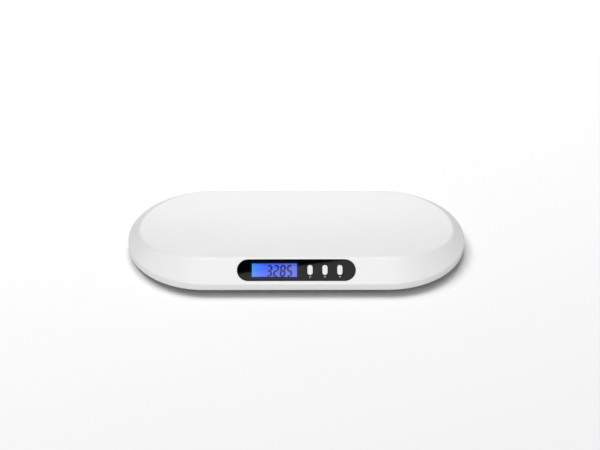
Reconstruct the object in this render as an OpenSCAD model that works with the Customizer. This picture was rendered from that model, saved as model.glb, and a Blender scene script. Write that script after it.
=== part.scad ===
// Weighing scale for small animals: a long, low platform with half-round ends.
// A white shell carries a shallow trough to lie in and a sloping apron all round it.
// The apron's front holds a black control panel with a display and three keys.
// Millimetres, +Z up, -Y to the front. The origin is on the floor under the centre.

/* [Body] */
// Overall length, left to right
body_length = 550; // [520:5:600]
// Depth, front to back, and the diameter of the half-round ends
body_depth = 260; // [256:1:270]
// Height of the upright side wall
side_wall_h = 12; // [11.5:0.5:14]
// Slope of the apron above the side wall, in degrees
apron_slope = 36; // [35:0.5:37]
// Thickness of the shell's plastic
shell_t = 2.5; // [2.2:0.1:2.8]
// Gap between the floor and the shell's lower edge
floor_gap = 7; // [6.5:0.5:9]

/* [Tray] */
// Height of the trough's lowest line above the shell's lower edge
tray_low_h = 23.6; // [23:0.1:25]
// How far that line lies behind the centre
tray_low_y = 32; // [28:1:36]
// Radius of the trough's curve from front to back
tray_radius = 562; // [540:2:600]

/* [Control panel] */
// Length of the black panel
panel_length = 188; // [186:1:190]
// Width of the black panel, measured up the slope
panel_width = 35.6; // [34.5:0.1:36]
// Distance of the panel's middle from the apron's lower edge, up the slope
panel_up_slope = 23.2; // [23:0.1:23.5]
// How far the panel stands above the apron
panel_proud = 0.4; // [0.2:0.1:0.6]
// Display window, along the panel
window_length = 71.4; // [66:0.2:72]
// Display window, up the slope
window_width = 22.3; // [20:0.1:23]
// Middle of the display window, from the panel's middle
window_x = -34.8; // [-36:0.1:-34]
// Key width
key_width = 8.2; // [8:0.1:9.5]
// Key length, up the slope
key_length = 16.2; // [15:0.1:17.5]
// Middle of the first key, from the panel's middle
key_first_x = 21.7; // [21:0.1:22.5]
// Distance from one key to the next
key_pitch = 23.65; // [23:0.05:24]
// Height of a key above the panel
key_proud = 0.8; // [0.7:0.1:1.2]

/* [Feet] */
// Distance of each foot from the centre, left or right
foot_x = 190; // [180:1:195]
// Distance of each foot from the centre, front or back
foot_y = 58; // [54:1:60]
// Diameter of the rubber pad
pad_d = 34; // [30:1:36]

/* [Batteries] */
// Length of one cell (AAA)
cell_length = 44.5; // [44.5:0.1:44.5]
// Diameter of one cell (AAA)
cell_d = 10.5; // [10.5:0.1:10.5]
// Middle of the battery box, behind the centre
box_y = 30; // [26:1:34]

/* [Hidden] */
$fn = 96;

// Body
end_r = body_depth / 2;
end_x = body_length / 2 - end_r;
edge_z = floor_gap;
crease_z = edge_z + side_wall_h;
profile_top_z = crease_z + 32;
tray_axis_z = edge_z + tray_low_h + tray_radius;
rib_depth = 3;
rib_t = 1.6;

// Base pan
pan_gap = 0.3;
pan_r = end_r - shell_t - pan_gap;
pan_t = 2.5;
pan_top_z = edge_z + pan_t;
pan_rim_h = 4;
pan_rim_t = 2;

// Housing screws: a raised cup in the pan takes the head, and a boss in the shell the thread
boss_r = 4.2;
boss_bore_r = 1.45;
boss_bore_top_z = 20.5;
cup_r = 4.8;
cup_top_z = 13;
head_r = 2.9;
head_h = 2.2;
shank_r = 1.4;
shank_length = 9;
screw_ring_r = end_r - 14;
screw_side_x = 100;
screw_corner_angle = 45;
screw_places = [
    [-screw_side_x, -screw_ring_r], [screw_side_x, -screw_ring_r],
    [-screw_side_x, screw_ring_r], [0, screw_ring_r], [screw_side_x, screw_ring_r],
    for (sx = [-1, 1], a = [-screw_corner_angle, 0, screw_corner_angle])
        [sx * (end_x + screw_ring_r * cos(a)), screw_ring_r * sin(a)]
];

// Control panel, in its own frame: x to the right, y up the slope, z out of the apron
panel_y = -end_r + panel_up_slope * cos(apron_slope);
panel_z = crease_z + panel_up_slope * sin(apron_slope);
panel_t = 2;
adhesive_t = 0.3;
panel_back = panel_proud - panel_t;
recess_floor = panel_back - adhesive_t;
seat_back = recess_floor - 2.5;
seat_lip = 2.2;
panel_slack = 0.3;
window_slack = 0.05;
key_slack = 0.2;
key_x = [for (i = [0 : 2]) key_first_x + i * key_pitch];

// Display stack behind the panel, top to bottom
lcd_length = 76;
lcd_width = 28;
lcd_t = 2.2;
lcd_top = seat_back - 0.1;
guide_t = 3;
guide_top = lcd_top - lcd_t;
board_top = -10.8;
board_t = 1.6;
board_left = -86;
board_right = 84;
board_width = 28;
frame_wall = 2.2;
frame_slack = 0.2;

// Keys and switches
key_top = panel_proud + key_proud;
key_bottom = seat_back - 0.3;
key_flange_t = 1;
key_flange_lip = 1.2;
key_stem_r = 1.6;
switch_size = 6;
switch_h = 3.5;
plunger_r = 1.7;
plunger_top = board_top + switch_h + 0.8;
plunger_length = 1.8;
plunger_bore_r = 1.9;
plunger_bore_depth = 2.3;

// Board screws
board_screw_x = [board_left + 5, 11.5, board_right - 5];
board_screw_y = 10;
board_boss_r = 2.6;
board_bore_r = 1.05;

// Load cells, holders and feet, from the floor up
foot_places = [[-1, -1], [1, -1], [-1, 1], [1, 1]];
pad_t = 2;
foot_cup_r = pad_d / 2 + 2;
foot_cup_bottom_z = 1;
foot_cup_top_z = edge_z - 2;
foot_neck_r = 6;
foot_hole_r = 9;
load_cell_z = pan_top_z + 2.5;
load_cell_size = 34;
load_cell_t = 1.5;
load_cell_rim = 4.5;
tongue_width = 14;
stud_r = 2.3;
stud_hole_r = 2.5;
holder_size = 42;
holder_top_z = load_cell_z + 2;
ear_x = holder_size / 2 + 2.5;
ear_r = 3.2;
ear_z = holder_top_z - 1;
ear_t = 2;

// Battery box, cut up into the base pan. Cells lie left to right.
spring_length = 5.5;
plate_t = 0.5;
well_x = (cell_length + spring_length + 2 * plate_t) / 2;
cell_pitch = cell_d + 0.7;
well_y = 2 * cell_pitch + 0.6;
well_wall = 1.5;
side_room = 9.5;
well_end_x = well_x + well_wall + side_room;
well_top_z = pan_top_z + 11.8;
cell_z = pan_top_z + 0.5 + cell_d / 2;
door_x = well_end_x - 3;
door_y = well_y + 2.5;
door_t = 2;
door_gap = 0.3;
ledge_z = edge_z + door_t + door_gap;
hook_y = [-14, 14];
hook_width = 10;

module on_apron() {
    translate([0, panel_y, panel_z]) rotate([apron_slope, 0, 0]) children();
}

// A flat piece with half-round ends, its length along x
module slot_plate(length, width, bottom, top) {
    straight = length - width;
    translate([-straight / 2, -width / 2, bottom]) cube([straight, width, top - bottom]);
    for (side = [-1, 1])
        translate([side * straight / 2, 0, bottom])
            rotate([0, 0, -90 * side])
                rotate_extrude(angle = 180)
                    square([width / 2, top - bottom]);
}

// The same with its length up the slope
module upright_slot_plate(width, length, bottom, top) {
    rotate([0, 0, 90]) slot_plate(length, width, bottom, top);
}

// An outline of [distance from the centre line, height] points, carried round the whole body
module body_of(outline) {
    closed = concat([[0, outline[0][1]]], outline, [[0, outline[len(outline) - 1][1]]]);
    mirrored = [for (i = [len(outline) - 1 : -1 : 0]) [-outline[i][0], outline[i][1]]];
    for (side = [-1, 1])
        translate([side * end_x, 0, 0])
            rotate([0, 0, -90 * side]) rotate_extrude(angle = 180) polygon(closed);
    translate([-end_x, 0, 0])
        rotate([90, 0, 90]) linear_extrude(2 * end_x) polygon(concat(outline, mirrored));
}

// The round bar, lying left to right, that scoops the trough; grow makes it larger
module tray_bar(grow) {
    translate([-body_length, tray_low_y, tray_axis_z])
        rotate([0, 90, 0]) cylinder(r = tray_radius + grow, h = 2 * body_length, $fn = 720);
}

// Distance of the apron's inner face from the centre line at a height
function inner_apron_r(z) =
    end_r - (z - crease_z + shell_t / cos(apron_slope)) / tan(apron_slope);

module outer_body() {
    top_r = end_r - (profile_top_z - crease_z) / tan(apron_slope);
    body_of([[end_r, edge_z], [end_r, crease_z], [top_r, profile_top_z]]);
}

module inner_space() {
    wall_r = end_r - shell_t;
    wall_top_z = crease_z - shell_t * (1 - sin(apron_slope)) / cos(apron_slope);
    difference() {
        body_of([
            [wall_r, edge_z - 1], [wall_r, wall_top_z],
            [inner_apron_r(profile_top_z), profile_top_z]
        ]);
        tray_bar(shell_t);
    }
}

// Stiffening ribs under the trough
module tray_ribs() {
    rib_zone_y = [-78, 92];
    intersection() {
        inner_space();
        tray_bar(shell_t + rib_depth);
        union() {
            for (y = [-60 : 40 : 60])
                translate([-body_length / 2, y - rib_t / 2, edge_z])
                    cube([body_length, rib_t, profile_top_z]);
            for (x = [-220 : 44 : 220])
                translate([x - rib_t / 2, rib_zone_y[0], edge_z])
                    cube([rib_t, rib_zone_y[1] - rib_zone_y[0], profile_top_z]);
        }
    }
}

module housing_bosses() {
    boss_bottom_z = cup_top_z + 0.2;
    intersection() {
        for (p = screw_places)
            translate([p[0], p[1], boss_bottom_z])
                cylinder(r = boss_r, h = profile_top_z - boss_bottom_z);
        outer_body();
    }
}

module platform_shell() {
    color("#f5f6f7") difference() {
        union() {
            difference() {
                outer_body();
                inner_space();
            }
            tray_ribs();
            housing_bosses();
            on_apron() {
                slot_plate(panel_length + 2 * seat_lip, panel_width + 2 * seat_lip, seat_back, -1);
                for (x = board_screw_x, y = [-board_screw_y, board_screw_y])
                    translate([x, y, board_top])
                        cylinder(r = board_boss_r, h = seat_back - board_top + 0.5);
            }
        }
        tray_bar(0);
        for (p = screw_places)
            translate([p[0], p[1], cup_top_z])
                cylinder(r = boss_bore_r, h = boss_bore_top_z - cup_top_z);
        on_apron() {
            slot_plate(panel_length + 2 * panel_slack, panel_width + 2 * panel_slack,
                       recess_floor, 3);
            window_hole(1, seat_back - 1, 0);
            for (x = key_x)
                translate([x, 0, 0])
                    upright_slot_plate(key_width + 1.2, key_length + 1.2, seat_back - 1, 0);
            for (x = board_screw_x, y = [-board_screw_y, board_screw_y])
                translate([x, y, board_top - 1])
                    cylinder(r = board_bore_r, h = 6.5);
        }
    }
}

// A straight hole of the display window's outline, grown by a margin
module window_hole(margin, bottom, top) {
    translate([window_x - window_length / 2 - margin, -window_width / 2 - margin, bottom])
        cube([window_length + 2 * margin, window_width + 2 * margin, top - bottom]);
}

module base_pan() {
    color("#e9eaeb") difference() {
        union() {
            body_of([[pan_r, edge_z], [pan_r, pan_top_z]]);
            difference() {
                body_of([[pan_r, edge_z], [pan_r, pan_top_z + pan_rim_h]]);
                body_of([[pan_r - pan_rim_t, edge_z - 1],
                         [pan_r - pan_rim_t, pan_top_z + pan_rim_h + 1]]);
            }
            for (p = screw_places)
                translate([p[0], p[1], edge_z]) cylinder(r = cup_r, h = cup_top_z - edge_z);
            for (f = foot_places)
                translate([f[0] * foot_x, f[1] * foot_y, 0])
                    for (side = [-1, 1])
                        translate([side * ear_x, 0, pan_top_z - 1])
                            cylinder(r = ear_r, h = ear_z - pan_top_z + 1);
            translate([-well_end_x - well_wall, box_y - well_y - well_wall, edge_z + 1])
                cube([2 * (well_end_x + well_wall), 2 * (well_y + well_wall),
                      well_top_z + well_wall - edge_z - 1]);
            // Plate round the door, thick enough to carry the ledge
            translate([-well_end_x - well_wall, box_y - door_y - well_wall, edge_z + 0.5])
                cube([2 * (well_end_x + well_wall), 2 * (door_y + well_wall), pan_t + 0.5]);
        }
        for (p = screw_places)
            translate([p[0], p[1], edge_z - 1]) {
                cylinder(r = head_r + 0.3, h = cup_top_z - 1.6 - edge_z + 1);
                cylinder(r = shank_r + 0.2, h = cup_top_z - edge_z + 2);
            }
        for (f = foot_places)
            translate([f[0] * foot_x, f[1] * foot_y, edge_z - 1]) {
                cylinder(r = foot_hole_r, h = pan_t + 2);
                for (side = [-1, 1])
                    translate([side * ear_x, 0, 2.5]) cylinder(r = 1.15, h = 20);
            }
        // Battery space, then the rooms for the door's hooks and for its catch
        translate([-well_x, box_y - well_y, ledge_z])
            cube([2 * well_x, 2 * well_y, well_top_z - ledge_z]);
        for (side = [-1, 1])
            translate([side * (well_x + well_wall + side_room / 2), box_y, 0])
                translate([-side_room / 2, -well_y, pan_top_z])
                    cube([side_room, 2 * well_y, well_top_z - pan_top_z]);
        translate([-door_x - door_gap, box_y - door_y - door_gap, edge_z - 1])
            cube([2 * (door_x + door_gap), 2 * (door_y + door_gap), ledge_z - edge_z + 1]);
        // Above the hook and catch ends of the door the ledge is cut away
        for (side = [-1, 1])
            translate([side * (well_x + well_wall + (door_x + door_gap - well_x - well_wall) / 2),
                       box_y, ledge_z])
                translate([-(door_x + door_gap - well_x - well_wall) / 2, -well_y, -0.5])
                    cube([door_x + door_gap - well_x - well_wall, 2 * well_y, 2]);
        // Slots in the roof for the two contact tabs that the leads are soldered to
        for (y = [-1.5, 1.5])
            translate([-well_x - 0.5, box_y + y * cell_pitch - 2, well_top_z - 1])
                cube([plate_t + 1, 4, well_wall + 2]);
        // Finger scoop beside the catch
        translate([door_x + 7, box_y, edge_z - 7]) sphere(r = 9);
    }
}

module screw(shank, length, head, head_height) {
    difference() {
        union() {
            cylinder(r = shank, h = length);
            translate([0, 0, -head_height]) cylinder(r = head, h = head_height);
        }
        for (turn = [0, 90])
            rotate([0, 0, turn])
                translate([-head * 0.6, -0.45, -head_height - 1])
                    cube([head * 1.2, 0.9, 1 + head_height * 0.5]);
    }
}

module housing_screws() {
    color("#b9bcc0")
        for (p = screw_places)
            translate([p[0], p[1], cup_top_z - 1.6])
                screw(shank_r, shank_length, head_r, head_h);
}

module control_panel() {
    color("#08090a") on_apron() difference() {
        slot_plate(panel_length, panel_width, panel_back, panel_proud);
        window_hole(0, panel_back - 1, panel_proud + 1);
        for (x = key_x)
            translate([x, 0, 0])
                upright_slot_plate(key_width + 2 * key_slack, key_length + 2 * key_slack,
                                   panel_back - 1, panel_proud + 1);
    }
}

module panel_adhesive() {
    color("#c9c7bd") on_apron() difference() {
        slot_plate(panel_length - 3, panel_width - 3, recess_floor, panel_back);
        window_hole(1.5, recess_floor - 1, panel_back + 1);
        for (x = key_x)
            translate([x, 0, 0])
                upright_slot_plate(key_width + 2, key_length + 2,
                                   recess_floor - 1, panel_back + 1);
    }
}

module display_window() {
    color("#9fc4ff") on_apron() window_hole(-window_slack, panel_back, panel_proud);
}

// Printed marks under the keys: a ring with a bar, two bars, and a zero
module panel_marks() {
    mark_y = -key_length / 2 - 3.1;
    mark_t = 0.06;
    color("#f0f0f0") on_apron() {
        translate([key_x[0], mark_y, panel_proud]) {
            difference() {
                cylinder(r = 1.2, h = mark_t);
                translate([0, 0, -1]) cylinder(r = 0.85, h = 2);
                translate([-0.45, 0, -1]) cube([0.9, 2, 2]);
            }
            translate([-0.18, 0.3, 0]) cube([0.36, 1.2, mark_t]);
        }
        for (side = [-1, 1])
            translate([key_x[1] + side * 0.6 - 0.25, mark_y - 1.1, panel_proud])
                cube([0.5, 2.2, mark_t]);
        translate([key_x[2], mark_y, panel_proud]) difference() {
            upright_slot_plate(1.7, 2.6, 0, mark_t);
            upright_slot_plate(0.9, 1.8, -1, 1);
        }
    }
}

module lcd_cell() {
    color("#20304a") on_apron()
        translate([window_x - lcd_length / 2, -lcd_width / 2, lcd_top - lcd_t])
            cube([lcd_length, lcd_width, lcd_t]);
}

module light_guide() {
    color("#3d7dff") on_apron()
        translate([window_x - lcd_length / 2, -lcd_width / 2, guide_top - guide_t])
            cube([lcd_length, lcd_width, guide_t]);
}

module backlight_leds() {
    led_room = board_top - (guide_top - guide_t);
    color("#dfefff") on_apron()
        for (y = [-8, 0, 8])
            translate([window_x - lcd_length / 2 + 2, y - 1.75, board_top])
                cube([2.8, 3.5, -led_room - 0.05]);
}

module display_frame() {
    length = lcd_length + 2 * frame_slack;
    width = lcd_width + 2 * frame_slack;
    shelf = 1.5;
    color("#dcdedf") on_apron() difference() {
        translate([window_x - length / 2 - frame_wall, -width / 2 - frame_wall, board_top])
            cube([length + 2 * frame_wall, width + 2 * frame_wall, lcd_top - board_top]);
        translate([window_x - length / 2, -width / 2, guide_top - guide_t])
            cube([length, width, 20]);
        translate([window_x - length / 2 + shelf, -width / 2 + shelf, board_top - 1])
            cube([length - 2 * shelf, width - 2 * shelf, 20]);
    }
}

module main_board() {
    color("#1f6b3a") on_apron() difference() {
        translate([board_left, -board_width / 2, board_top - board_t])
            cube([board_right - board_left, board_width, board_t]);
        for (x = board_screw_x, y = [-board_screw_y, board_screw_y])
            translate([x, y, board_top - board_t - 1]) cylinder(r = 1.3, h = board_t + 2);
    }
}

// One part soldered under the board; x and y are its middle
module under_board(x, y, length, width, height) {
    translate([x - length / 2, y - width / 2, board_top - board_t - height])
        cube([length, width, height]);
}

module board_chips() {
    color("#17181a") on_apron() {
        under_board(-48, 0, 9, 9, 1.4);
        under_board(-26, 2, 6.2, 9.9, 1.6);
        under_board(-10, -3, 3, 3, 1.1);
        for (x = [22, 30, 38]) under_board(x, -6, 2, 1.2, 0.8);
    }
}

module board_connectors() {
    color("#f1efe6") on_apron()
        for (x = [-66, -58, 4, 18, 56]) under_board(x, 9, 6, 5, 4);
}

module wireless_module() {
    color("#20262b") on_apron() {
        under_board(68, -3, 13, 11, 0.8);
        translate([0, 0, -0.8]) under_board(66.5, -3, 8, 9, 1.5);
    }
}

module board_screws() {
    color("#b9bcc0") on_apron()
        for (x = board_screw_x, y = [-board_screw_y, board_screw_y])
            translate([x, y, board_top - board_t])
                screw(1, 6, 2, 1.4);
}

module switch_bodies() {
    color("#2a2c2e") on_apron()
        for (x = key_x)
            translate([x, 0, board_top]) difference() {
                translate([-switch_size / 2, -switch_size / 2, 0])
                    cube([switch_size, switch_size, switch_h]);
                translate([0, 0, switch_h - plunger_bore_depth])
                    cylinder(r = plunger_bore_r, h = plunger_bore_depth + 1);
            }
}

// One key: the cap, a flange that holds it under the shell, and a stem
module key(i) {
    color("#f7f8f9") on_apron() translate([key_x[i], 0, 0]) {
        upright_slot_plate(key_width, key_length, key_bottom, key_top);
        upright_slot_plate(key_width + 2 * key_flange_lip, key_length + 2 * key_flange_lip,
                           key_bottom - key_flange_t, key_bottom);
        translate([0, 0, plunger_top])
            cylinder(r = key_stem_r, h = key_bottom - key_flange_t - plunger_top + 0.2);
    }
}

module plunger(i) {
    color("#d9d2bf") on_apron()
        translate([key_x[i], 0, plunger_top - plunger_length])
            cylinder(r = plunger_r, h = plunger_length);
}

// Steel load cell: a square rim with a tongue that the foot bends
module load_cell(i) {
    inside = load_cell_size - 2 * load_cell_rim;
    color("#a9adb2") at_foot(i) translate([0, 0, load_cell_z]) difference() {
        translate([-load_cell_size / 2, -load_cell_size / 2, 0])
            cube([load_cell_size, load_cell_size, load_cell_t]);
        difference() {
            translate([-inside / 2, -inside / 2, -1])
                cube([inside, inside, load_cell_t + 2]);
            translate([-tongue_width / 2, -inside / 2 + 4, -2])
                cube([tongue_width, inside, load_cell_t + 4]);
        }
        translate([0, 0, -1]) cylinder(r = stud_hole_r, h = load_cell_t + 2);
    }
}

module at_foot(i) {
    translate([foot_places[i][0] * foot_x, foot_places[i][1] * foot_y, 0]) children();
}

module cell_holder(i) {
    pocket = load_cell_size + 0.4;
    opening = load_cell_size - 2 * load_cell_rim + 1;
    color("#e2e3e4") at_foot(i) difference() {
        union() {
            translate([-holder_size / 2, -holder_size / 2, pan_top_z])
                cube([holder_size, holder_size, holder_top_z - pan_top_z]);
            for (side = [-1, 1])
                translate([side * ear_x, 0, ear_z]) cylinder(r = ear_r, h = ear_t);
        }
        translate([-pocket / 2, -pocket / 2, load_cell_z])
            cube([pocket, pocket, 20]);
        translate([-opening / 2, -opening / 2, pan_top_z - 1])
            cube([opening, opening, 20]);
        for (side = [-1, 1])
            translate([side * ear_x, 0, ear_z - 1]) cylinder(r = 1.3, h = ear_t + 2);
        // Room for the boss that carries each ear
        for (side = [-1, 1])
            translate([side * ear_x, 0, pan_top_z - 1])
                cylinder(r = ear_r + 0.2, h = ear_z - pan_top_z + 1);
    }
}

module holder_screws() {
    color("#b9bcc0")
        for (f = foot_places, side = [-1, 1])
            translate([f[0] * foot_x + side * ear_x, f[1] * foot_y, ear_z + ear_t])
                rotate([180, 0, 0]) screw(1.1, 5.5, 2.2, 1.4);
}

module gauge_seals() {
    color("#f3f3ee")
        for (f = foot_places)
            translate([f[0] * foot_x - 5, f[1] * foot_y + 4.2, load_cell_z + load_cell_t])
                cube([10, 6, 1.2]);
}

module foot_cup(i) {
    color("#d7d9da") at_foot(i) difference() {
        union() {
            translate([0, 0, foot_cup_bottom_z])
                cylinder(r = foot_cup_r, h = foot_cup_top_z - foot_cup_bottom_z);
            cylinder(r = foot_neck_r, h = load_cell_z);
            cylinder(r = stud_r, h = load_cell_z + load_cell_t + 0.6);
        }
        translate([0, 0, -1]) cylinder(r = pad_d / 2 + 0.1, h = 1 + pad_t);
    }
}

module foot_pad(i) {
    color("#8d9093") at_foot(i) difference() {
        cylinder(r = pad_d / 2, h = pad_t);
        for (r = [6, 11])
            translate([0, 0, -0.5]) difference() {
                cylinder(r = r + 1, h = 1);
                translate([0, 0, -1]) cylinder(r = r, h = 3);
            }
    }
}

function unit(v) = v / norm(v);
function along(path, i) = unit(path[min(i + 1, len(path) - 1)] - path[max(i - 1, 0)]);
function ring(path, i, r, sides, across) =
    let (t = along(path, i), a = unit(cross(across, t)), b = cross(t, a))
    [for (k = [0 : sides - 1])
        path[i] + r * (cos(360 * k / sides) * a + sin(360 * k / sides) * b)];

// A closed round tube along a path; across is a direction that the path never runs in
module tube(path, r, sides, across) {
    last = len(path) - 1;
    polyhedron(
        points = [for (i = [0 : last]) each ring(path, i, r, sides, across)],
        faces = [
            [for (k = [0 : sides - 1]) k],
            [for (k = [sides - 1 : -1 : 0]) last * sides + k],
            for (i = [0 : last - 1], k = [0 : sides - 1])
                [i * sides + k, (i + 1) * sides + k,
                 (i + 1) * sides + (k + 1) % sides, i * sides + (k + 1) % sides]
        ]
    );
}

// Points on a smooth curve through a short list of places
function between(a, b, c, d, t) =
    0.5 * (2 * b + (c - a) * t + (2 * a - 5 * b + 4 * c - d) * t * t
           + (3 * b - a - 3 * c + d) * t * t * t);
function smooth(p, steps) = [
    for (i = [0 : len(p) - 2], k = [0 : steps - 1])
        between(p[max(i - 1, 0)], p[i], p[i + 1], p[min(i + 2, len(p) - 1)], k / steps),
    p[len(p) - 1]
];

// Each load cell's wires run over the pan to a connector under the board
module cell_wires() {
    seal_top = load_cell_z + load_cell_t + 2.3;
    plug_x = [[-66, -58], [56, 18]];
    color("#c23b34")
        for (side = [-1, 1], row = [0, 1]) {
            cell = [side * foot_x, (row == 0 ? -1 : 1) * foot_y, 0];
            plug = plug_x[side < 0 ? 0 : 1][row];
            start = [cell + [-side * 4, 7.2, seal_top], cell + [-side * 22, 12, seal_top]];
            middle = row == 0
                ? [cell + [-side * 38, 14, 12.5], [side * 84, -74, 13], [plug, -86, 18]]
                : [cell + [-side * 38, -2, 12.5], [side * 110, 2, 12], [side * 70, -50, 12],
                   [plug, -82, 16]];
            tube(smooth(concat(start, middle, [[plug, -91.6, 22.6]]), 4), 1.1, 8, [0, 0, 1]);
        }
}

// The leads start at the contact tabs in the battery box's roof
module battery_leads() {
    lead_r = 0.7;
    start_z = well_top_z + well_wall + lead_r + 0.3;
    color("#2b2d30")
        for (i = [0, 1])
            tube(smooth([[-well_x - 1.5, box_y + (i == 0 ? -1.5 : 1.5) * cell_pitch, start_z],
                         [-well_end_x - 5 - 4 * i, box_y - 22, start_z],
                         [-well_end_x - 13 - 4 * i, box_y - 46, 15], [-20 - 4 * i, -60, 13],
                         [3 - 4 * i, -82, 17], [5.2 - 2.4 * i, -91.6, 22.6]], 4),
                 lead_r, 8, [0, 0, 1]);
}

// Cells lie side by side and face opposite ways in turn
function cell_turn(i) = i % 2 == 0 ? 1 : -1;
function cell_y(i) = box_y + (i - 1.5) * cell_pitch;

module battery(i) {
    nub_length = 0.8;
    face = cell_turn(i);
    color("#3c4f63")
        translate([face * (well_x - plate_t), cell_y(i), cell_z])
            rotate([0, -90 * face, 0]) {
                cylinder(r = 2.6, h = nub_length + 0.2);
                translate([0, 0, nub_length])
                    cylinder(d = cell_d, h = cell_length - nub_length);
            }
}

// One conical contact spring: wire wound round the cell's axis
module battery_springs() {
    turns = 3.5;
    steps = 42;
    wire_r = 0.35;
    color("#c8cbce")
        for (i = [0 : 3])
            translate([-cell_turn(i) * (well_x - plate_t), cell_y(i), cell_z])
                tube([for (s = [0 : steps])
                          let (a = 360 * turns * s / steps, r = 3.8 - 1.8 * s / steps)
                          [cell_turn(i) * (wire_r + (spring_length - 2 * wire_r) * s / steps),
                           r * cos(a), r * sin(a)]],
                     wire_r, 6, [1, 0, 0]);
}

module battery_plates() {
    height = 8;
    color("#c8cbce") for (side = [-1, 1]) {
        x = side < 0 ? -well_x : well_x - plate_t;
        pairs = side > 0 ? [[0, 1], [2, 3]] : [[0, 0], [1, 2], [3, 3]];
        for (p = pairs)
            translate([x, cell_y(p[0]) - 4, cell_z - height / 2])
                cube([plate_t, cell_y(p[1]) - cell_y(p[0]) + 8, height]);
    }
    color("#c8cbce") for (y = [-1.5, 1.5])
        translate([-well_x, box_y + y * cell_pitch - 1.5, cell_z + 3])
            cube([plate_t, 3, well_top_z + well_wall + 1.2 - cell_z - 3]);
}

// The door hooks over the pan at its left end and catches at its right end
module battery_door() {
    hook_z = pan_top_z + 0.3;
    hook_t = 1.5;
    color("#e9eaeb") {
        translate([-door_x, box_y - door_y, edge_z])
            cube([2 * door_x, 2 * door_y, door_t]);
        for (y = hook_y) translate([0, box_y + y - hook_width / 2, 0]) {
            translate([-door_x + 0.1, 0, edge_z + door_t - 0.5])
                cube([3.9, hook_width, hook_z + hook_t - edge_z - door_t + 0.5]);
            translate([-door_x - 2.2, 0, hook_z]) cube([4, hook_width, hook_t]);
        }
        translate([door_x - 1.8, box_y - 8, edge_z + door_t - 0.5]) cube([1.4, 16, 6.5]);
        translate([door_x - 1.8, box_y - 8, hook_z]) cube([1.8, 16, 1.2]);
        // Grip ridges by the catch
        for (x = [door_x - 12 : 2.5 : door_x - 4])
            translate([x, box_y - 9, edge_z - 0.5]) cube([1, 18, 1]);
    }
}

platform_shell();
base_pan();
housing_screws();
control_panel();
panel_adhesive();
display_window();
panel_marks();
lcd_cell();
light_guide();
backlight_leds();
display_frame();
main_board();
board_chips();
board_connectors();
wireless_module();
board_screws();
switch_bodies();
key(0);  // key_power
key(1);  // key_hold
key(2);  // key_tare
plunger(0);  // plunger_power
plunger(1);  // plunger_hold
plunger(2);  // plunger_tare
load_cell(0);  // load_cell_fl
load_cell(1);  // load_cell_fr
load_cell(2);  // load_cell_rl
load_cell(3);  // load_cell_rr
cell_holder(0);  // cell_holder_fl
cell_holder(1);  // cell_holder_fr
cell_holder(2);  // cell_holder_rl
cell_holder(3);  // cell_holder_rr
holder_screws();
gauge_seals();
foot_cup(0);  // foot_cup_fl
foot_cup(1);  // foot_cup_fr
foot_cup(2);  // foot_cup_rl
foot_cup(3);  // foot_cup_rr
foot_pad(0);  // foot_pad_fl
foot_pad(1);  // foot_pad_fr
foot_pad(2);  // foot_pad_rl
foot_pad(3);  // foot_pad_rr
cell_wires();
battery_leads();
battery(0);  // battery_1
battery(1);  // battery_2
battery(2);  // battery_3
battery(3);  // battery_4
battery_springs();
battery_plates();
battery_door();
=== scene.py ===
"""Low platform scale for small animals: white shell, black panel, blue display and three keys."""
import math

import bmesh
import bpy
import numpy as np
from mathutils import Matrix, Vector


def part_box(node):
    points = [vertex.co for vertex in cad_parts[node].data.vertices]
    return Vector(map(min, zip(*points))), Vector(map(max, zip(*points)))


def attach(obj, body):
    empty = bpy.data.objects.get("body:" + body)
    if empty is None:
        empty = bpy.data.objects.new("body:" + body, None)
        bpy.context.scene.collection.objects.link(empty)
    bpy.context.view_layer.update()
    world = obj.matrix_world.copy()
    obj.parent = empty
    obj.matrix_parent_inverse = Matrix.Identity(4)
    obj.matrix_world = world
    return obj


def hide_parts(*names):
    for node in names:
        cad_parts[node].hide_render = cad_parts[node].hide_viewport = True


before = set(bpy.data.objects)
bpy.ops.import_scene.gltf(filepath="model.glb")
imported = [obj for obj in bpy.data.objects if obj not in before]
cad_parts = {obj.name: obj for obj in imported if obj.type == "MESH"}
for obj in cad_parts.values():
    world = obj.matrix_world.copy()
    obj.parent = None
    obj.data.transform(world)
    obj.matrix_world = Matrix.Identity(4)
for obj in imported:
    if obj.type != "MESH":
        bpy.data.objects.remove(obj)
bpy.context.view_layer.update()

MM = 0.001
BODY = "scale_body"
KEYS = ("key_power", "key_hold", "key_tare")
CORNERS = ("fl", "fr", "rl", "rr")

# ---------------------------------------------------------------- sizes, from the frame

shell_low, shell_high = (np.array(corner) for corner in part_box("platform_shell"))
END_R = (shell_high[1] - shell_low[1]) / 2
HALF_LENGTH = 275 * MM
END_X = HALF_LENGTH - END_R
EDGE_Z = shell_low[2]
SIDE_WALL_H = 12 * MM
CREASE_Z = EDGE_Z + SIDE_WALL_H
SLOPE = math.radians(36)
WALL = 2.5 * MM

TROUGH_R = 562 * MM
TROUGH_Y = 32 * MM
TROUGH_Z = EDGE_Z + 23.6 * MM

PANEL_UP_SLOPE = 23.2 * MM
PANEL_PROUD = 0.4 * MM
PANEL_HALF = np.array([94.0, 17.8]) * MM
PANEL_BACK = -1.6 * MM
RECESS_GAP = 0.3 * MM
RECESS_FLOOR = -1.9 * MM
SEAT_BACK = -4.4 * MM
KEY_HALF = np.array([4.1, 8.1]) * MM
KEY_TOP = 1.2 * MM


def box_middle(node):
    """Middle of a CAD node's box."""
    low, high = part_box(node)
    return (np.array(low) + np.array(high)) / 2


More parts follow.
